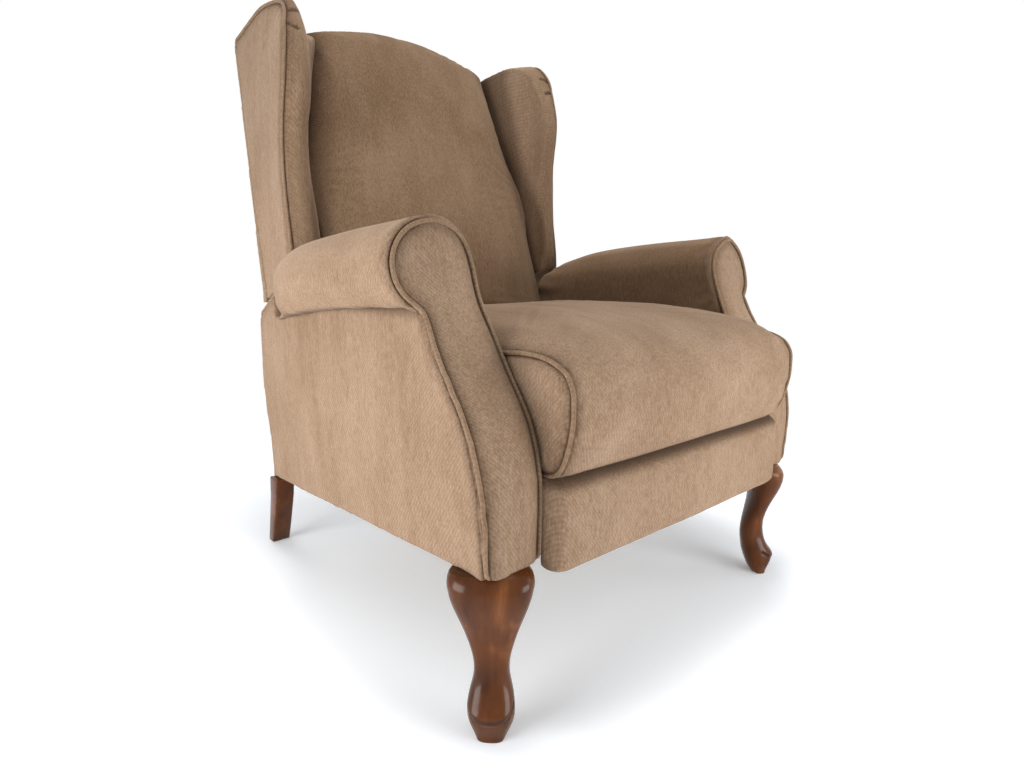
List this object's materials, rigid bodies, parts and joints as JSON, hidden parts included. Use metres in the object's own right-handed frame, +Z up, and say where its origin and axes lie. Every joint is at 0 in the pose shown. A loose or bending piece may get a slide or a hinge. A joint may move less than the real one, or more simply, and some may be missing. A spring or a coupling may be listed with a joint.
{
  "type": "wingback recliner",
  "caption": "High-leg wingback recliner with rolled arms, crowned seat cushion, carved cabriole front legs, raked rear legs, reclining back and folding footrest.",
  "frame": {"origin": "on the floor, under the centre of the chair's bounding box at rest", "axes": "-Y is the way the sitter faces, +Z is up, and +X is the right side seen from the front"},
  "size_m": [0.8114, 0.8958, 1.065],
  "materials": {
    "upholstery": "short brushed pile, tan brown",
    "leg_wood": "dark cherry stain under gloss lacquer",
    "frame_timber": "unfinished hardwood and plywood",
    "mechanism_steel": "black enamelled strip steel",
    "lining_cloth": "black woven lining"
  },
  "bodies": {
    "base": {"arm_facing_left": "upholstery", "arm_facing_right": "upholstery", "arm_pad_left": "upholstery", "arm_pad_right": "upholstery", "side_panel_left": "upholstery", "side_panel_right": "upholstery", "side_frame_left": "frame_timber", "side_frame_right": "frame_timber", "front_block_left": "frame_timber", "front_block_right": "frame_timber", "rear_block_left": "frame_timber", "rear_block_right": "frame_timber", "rear_rail": "frame_timber", "middle_rail": "frame_timber", "base_rear_panel": "upholstery", "front_leg_left": "leg_wood", "front_leg_right": "leg_wood", "rear_leg_left": "leg_wood", "rear_leg_right": "leg_wood", "mech_base_plate_left": "mechanism_steel", "mech_base_plate_right": "mechanism_steel", "base_cross_tube": "mechanism_steel"},
    "seat_front_links": {"seat_front_link_left": "mechanism_steel", "seat_front_link_right": "mechanism_steel"},
    "seat_rear_links": {"seat_rear_link_left": "mechanism_steel", "seat_rear_link_right": "mechanism_steel"},
    "seat": {"seat_side_plate_left": "mechanism_steel", "seat_side_plate_right": "mechanism_steel", "seat_frame": "frame_timber", "seat_spring_1": "mechanism_steel", "seat_spring_2": "mechanism_steel", "seat_spring_3": "mechanism_steel", "seat_spring_4": "mechanism_steel", "seat_deck": "lining_cloth", "seat_cushion": "upholstery"},
    "back": {"back_frame": "frame_timber", "back_lower_cover": "upholstery", "back_bracket_left": "mechanism_steel", "back_bracket_right": "mechanism_steel", "back_cushion": "upholstery", "wing_frame_left": "frame_timber", "wing_frame_right": "frame_timber", "wing_pad_left": "upholstery", "wing_pad_right": "upholstery", "outside_back": "upholstery"},
    "footrest_front_arms": {"footrest_front_arm_left": "mechanism_steel", "footrest_front_arm_right": "mechanism_steel", "footrest_torsion_tube": "mechanism_steel"},
    "footrest_rear_arms": {"footrest_rear_arm_left": "mechanism_steel", "footrest_rear_arm_right": "mechanism_steel"},
    "footrest_carriers": {"footrest_carrier_left": "mechanism_steel", "footrest_carrier_right": "mechanism_steel"},
    "control_rods": {"control_rod_left": "mechanism_steel", "control_rod_right": "mechanism_steel"},
    "footrest": {"footrest_bracket_left": "mechanism_steel", "footrest_bracket_right": "mechanism_steel", "footrest_board": "frame_timber", "footrest_pad": "upholstery"}
  },
  "joints": [
    {"name": "seat_front_swing", "type": "hinge", "parent": "base", "child": "seat_front_links", "pos_m": [0, -0.19392, 0.284], "axis": [1, 0, 0], "range_deg": [0, 45]},
    {"name": "seat_level", "type": "hinge", "parent": "seat_front_links", "child": "seat", "pos_m": [0, -0.1734, 0.34038], "axis": [1, 0, 0], "range_deg": [-45, 0]},
    {"name": "seat_rear_swing", "type": "hinge", "parent": "base", "child": "seat_rear_links", "pos_m": [0, 0.07108, 0.284], "axis": [1, 0, 0], "range_deg": [0, 45]},
    {"name": "back_recline", "type": "hinge", "parent": "seat", "child": "back", "pos_m": [0, 0.17608, 0.3], "axis": [-1, 0, 0], "range_deg": [0, 28]},
    {"name": "footrest_swing", "type": "hinge", "parent": "seat", "child": "footrest_front_arms", "pos_m": [0, -0.24892, 0.352], "axis": [-1, 0, 0], "range_deg": [0, 139]},
    {"name": "footrest_rear_swing", "type": "hinge", "parent": "seat", "child": "footrest_rear_arms", "pos_m": [0, -0.14892, 0.352], "axis": [-1, 0, 0], "range_deg": [0, 139]},
    {"name": "carrier_level", "type": "hinge", "parent": "footrest_front_arms", "child": "footrest_carriers", "pos_m": [0, -0.12833, 0.29831], "axis": [-1, 0, 0], "range_deg": [-139, 0]},
    {"name": "footrest_turn", "type": "hinge", "parent": "footrest_carriers", "child": "footrest", "pos_m": [0, -0.34392, 0.29831], "axis": [-1, 0, 0], "range_deg": [0, 97]},
    {"name": "control_rod_swing", "type": "hinge", "parent": "footrest_front_arms", "child": "control_rods", "pos_m": [0, -0.10275, 0.28692], "axis": [-1, 0, 0], "range_deg": [-133.61, 0]}
  ],
  "couplings": [
    {"joint": "seat_front_swing", "follows": "back_recline", "ratio": 1.6071},
    {"joint": "seat_level", "follows": "back_recline", "ratio": -1.6071},
    {"joint": "seat_rear_swing", "follows": "back_recline", "ratio": 1.6071},
    {"joint": "footrest_rear_swing", "follows": "footrest_swing", "ratio": 1},
    {"joint": "carrier_level", "follows": "footrest_swing", "ratio": -1},
    {"joint": "footrest_turn", "follows": "footrest_swing", "ratio": 0.69784},
    {"joint": "control_rod_swing", "follows": "footrest_swing", "ratio": -0.96116}
  ]
}
